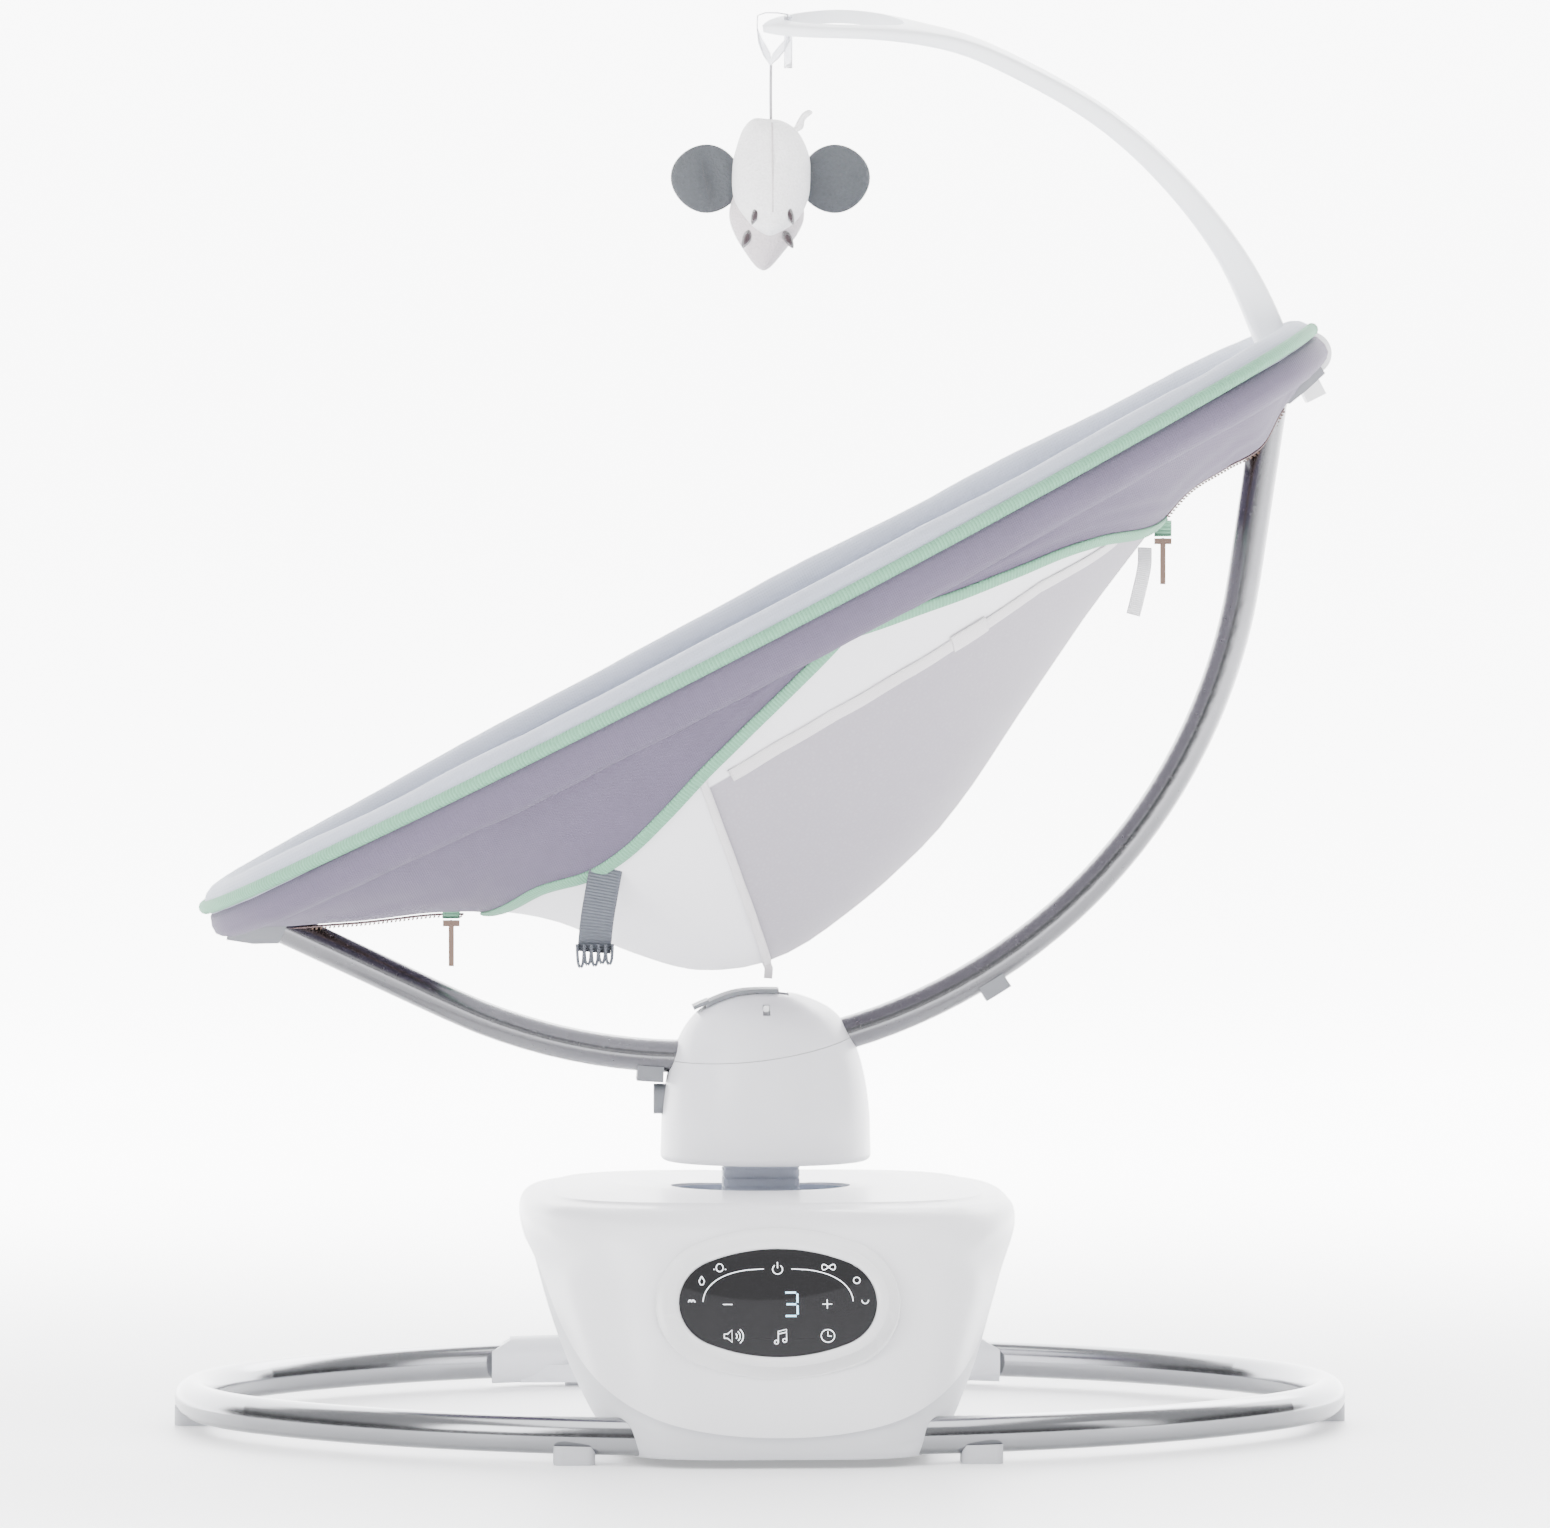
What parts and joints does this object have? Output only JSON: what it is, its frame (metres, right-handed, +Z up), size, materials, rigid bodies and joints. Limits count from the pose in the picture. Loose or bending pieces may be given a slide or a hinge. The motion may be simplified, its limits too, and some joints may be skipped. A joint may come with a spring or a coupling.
{
  "type": "baby swing",
  "caption": "Motorised baby swing: oval tube floor ring, drive housing with touch panel, domed hub, arc tube and tilted hammock seat with a fold-back toy bar.",
  "frame": {"origin": "on the floor, under the middle of the floor ring", "axes": "+Z up; +X from the foot end of the seat to the head end; -Y towards the control panel"},
  "size_m": [0.7039, 0.5748, 0.8489],
  "materials": {
    "ring_metal": "polished tube",
    "arc_metal": "polished tube",
    "hoop_metal": "satin tube",
    "shell_plastic": "fine satin moulding",
    "skirt_plastic": "satin moulding",
    "dome_plastic": "smooth moulding",
    "lever_plastic": "satin moulding",
    "neck_plastic": "satin ribbed moulding",
    "bezel_plastic": "satin moulding with fine rings",
    "lens": "dark glossy window",
    "bar_plastic": "satin moulding",
    "clip_plastic": "smooth moulding",
    "bracket_plastic": "satin moulding",
    "rubber": "matte",
    "inner_plastic": "moulded",
    "board": "circuit board",
    "motor_metal": "coated",
    "steel": "ground",
    "brass": "turned",
    "zip_metal": "plated",
    "hammock_fabric": "knitted cloth",
    "pad_fabric": "soft knit",
    "trim_fabric": "ribbed binding",
    "webbing": "woven webbing",
    "tie_fabric": "woven tape",
    "buckle_plastic": "moulded",
    "clear_strap": "clear flexible strap",
    "ribbon": "woven ribbon",
    "plush": "short pile plush",
    "plush_ear": "short pile plush"
  },
  "bodies": {
    "base": {"left_ring_tube": "ring_metal", "right_ring_tube": "ring_metal", "rear_joint_sleeve": "skirt_plastic", "ring_feet": "rubber", "housing_front_shell": "shell_plastic", "housing_skirt": "skirt_plastic", "slot_liner": "neck_plastic", "base_plate": "inner_plastic", "rubber_pads": "rubber", "base_plate_screws": "steel", "panel_bezel": "bezel_plastic", "panel_lens": "lens", "control_board": "board", "speaker": "inner_plastic", "dc_inlet": "inner_plastic", "guide_rods": "steel", "rod_brackets": "inner_plastic", "sway_motor": "motor_metal", "sway_motor_bracket": "steel"},
    "pinion": {"sway_pinion": "brass"},
    "carriage": {"sway_carriage": "inner_plastic", "carriage_bushes": "brass", "sway_rack": "inner_plastic", "dust_plate": "neck_plastic", "lift_gearbox": "inner_plastic", "lift_motor": "motor_metal"},
    "lift_screw_body": {"lift_screw": "steel"},
    "column": {"neck_column": "neck_plastic", "lift_nut": "brass", "hub_cup": "dome_plastic", "hub_cap": "dome_plastic", "hub_screws": "steel", "tube_shoes": "inner_plastic", "lever_pin": "steel", "button_spring": "steel"},
    "lever": {"recline_lever": "lever_plastic"},
    "button": {"release_button": "lever_plastic"},
    "seat": {"arc_tube": "arc_metal", "arc_end_stops": "inner_plastic", "head_frame_tube": "hoop_metal", "foot_frame_tube": "hoop_metal", "frame_joiners": "inner_plastic", "foot_bracket": "bracket_plastic", "head_bracket": "bracket_plastic", "hammock": "hammock_fabric", "seat_pad": "pad_fabric", "seat_cover": "trim_fabric", "harness_straps": "webbing", "harness_buckle": "buckle_plastic", "head_tie": "tie_fabric", "zip_sliders": "zip_metal"},
    "toy_bar_body": {"toy_bar": "bar_plastic", "toy_bar_clip": "clip_plastic", "toy_strap": "clear_strap"},
    "toy": {"toy_ribbon": "ribbon", "toy_body": "plush", "toy_ears": "plush_ear"},
    "foot_pull": {"foot_zip_pull": "zip_metal"},
    "head_pull": {"head_zip_pull": "zip_metal"}
  },
  "joints": [
    {"name": "sway", "type": "slide", "parent": "base", "child": "carriage", "axis": [1, 0, 0], "range_m": [-0.022, 0.022]},
    {"name": "pinion_turn", "type": "hinge", "parent": "base", "child": "pinion", "pos_m": [0, -0.0486, 0.054], "axis": [0, 1, 0], "range_deg": [-145, 145]},
    {"name": "lift", "type": "slide", "parent": "carriage", "child": "column", "axis": [0, 0, 1], "range_m": [0, 0.035]},
    {"name": "lift_screw_turn", "type": "hinge", "parent": "carriage", "child": "lift_screw_body", "pos_m": [0, 0, 0.07], "axis": [0, 0, 1], "range_deg": [-5, 1600]},
    {"name": "lever_turn", "type": "hinge", "parent": "column", "child": "lever", "pos_m": [0.0021, 0, 0.2508], "axis": [0, 1, 0], "range_deg": [0, 20]},
    {"name": "button_press", "type": "slide", "parent": "column", "child": "button", "axis": [1, 0, 0], "range_m": [0, 0.003], "stiffness_N_per_m": 500, "springref_m": -0.004},
    {"name": "recline", "type": "hinge", "parent": "column", "child": "seat", "pos_m": [-0.0433, 0, 0.5586], "axis": [0, 1, 0], "range_deg": [0, 13]},
    {"name": "toy_bar_fold", "type": "hinge", "parent": "seat", "child": "toy_bar_body", "pos_m": [0.3294, 0, 0.6424], "axis": [0, 1, 0], "range_deg": [0, 75]},
    {"name": "toy_swing", "type": "hinge", "parent": "toy_bar_body", "child": "toy", "pos_m": [0.0063, 0, 0.815], "axis": [0, 1, 0], "range_deg": [-45, 45]},
    {"name": "foot_zip_swing", "type": "hinge", "parent": "seat", "child": "foot_pull", "pos_m": [-0.186, -0.025, 0.302], "axis": [0, 1, 0], "range_deg": [-40, 40]},
    {"name": "head_zip_swing", "type": "hinge", "parent": "seat", "child": "head_pull", "pos_m": [0.24, -0.025, 0.53], "axis": [0, 1, 0], "range_deg": [-40, 40]}
  ],
  "couplings": [
    {"joint": "pinion_turn", "follows": "sway", "rad_per_m": 111.11},
    {"joint": "lift_screw_turn", "follows": "lift", "rad_per_m": 785.4}
  ]
}
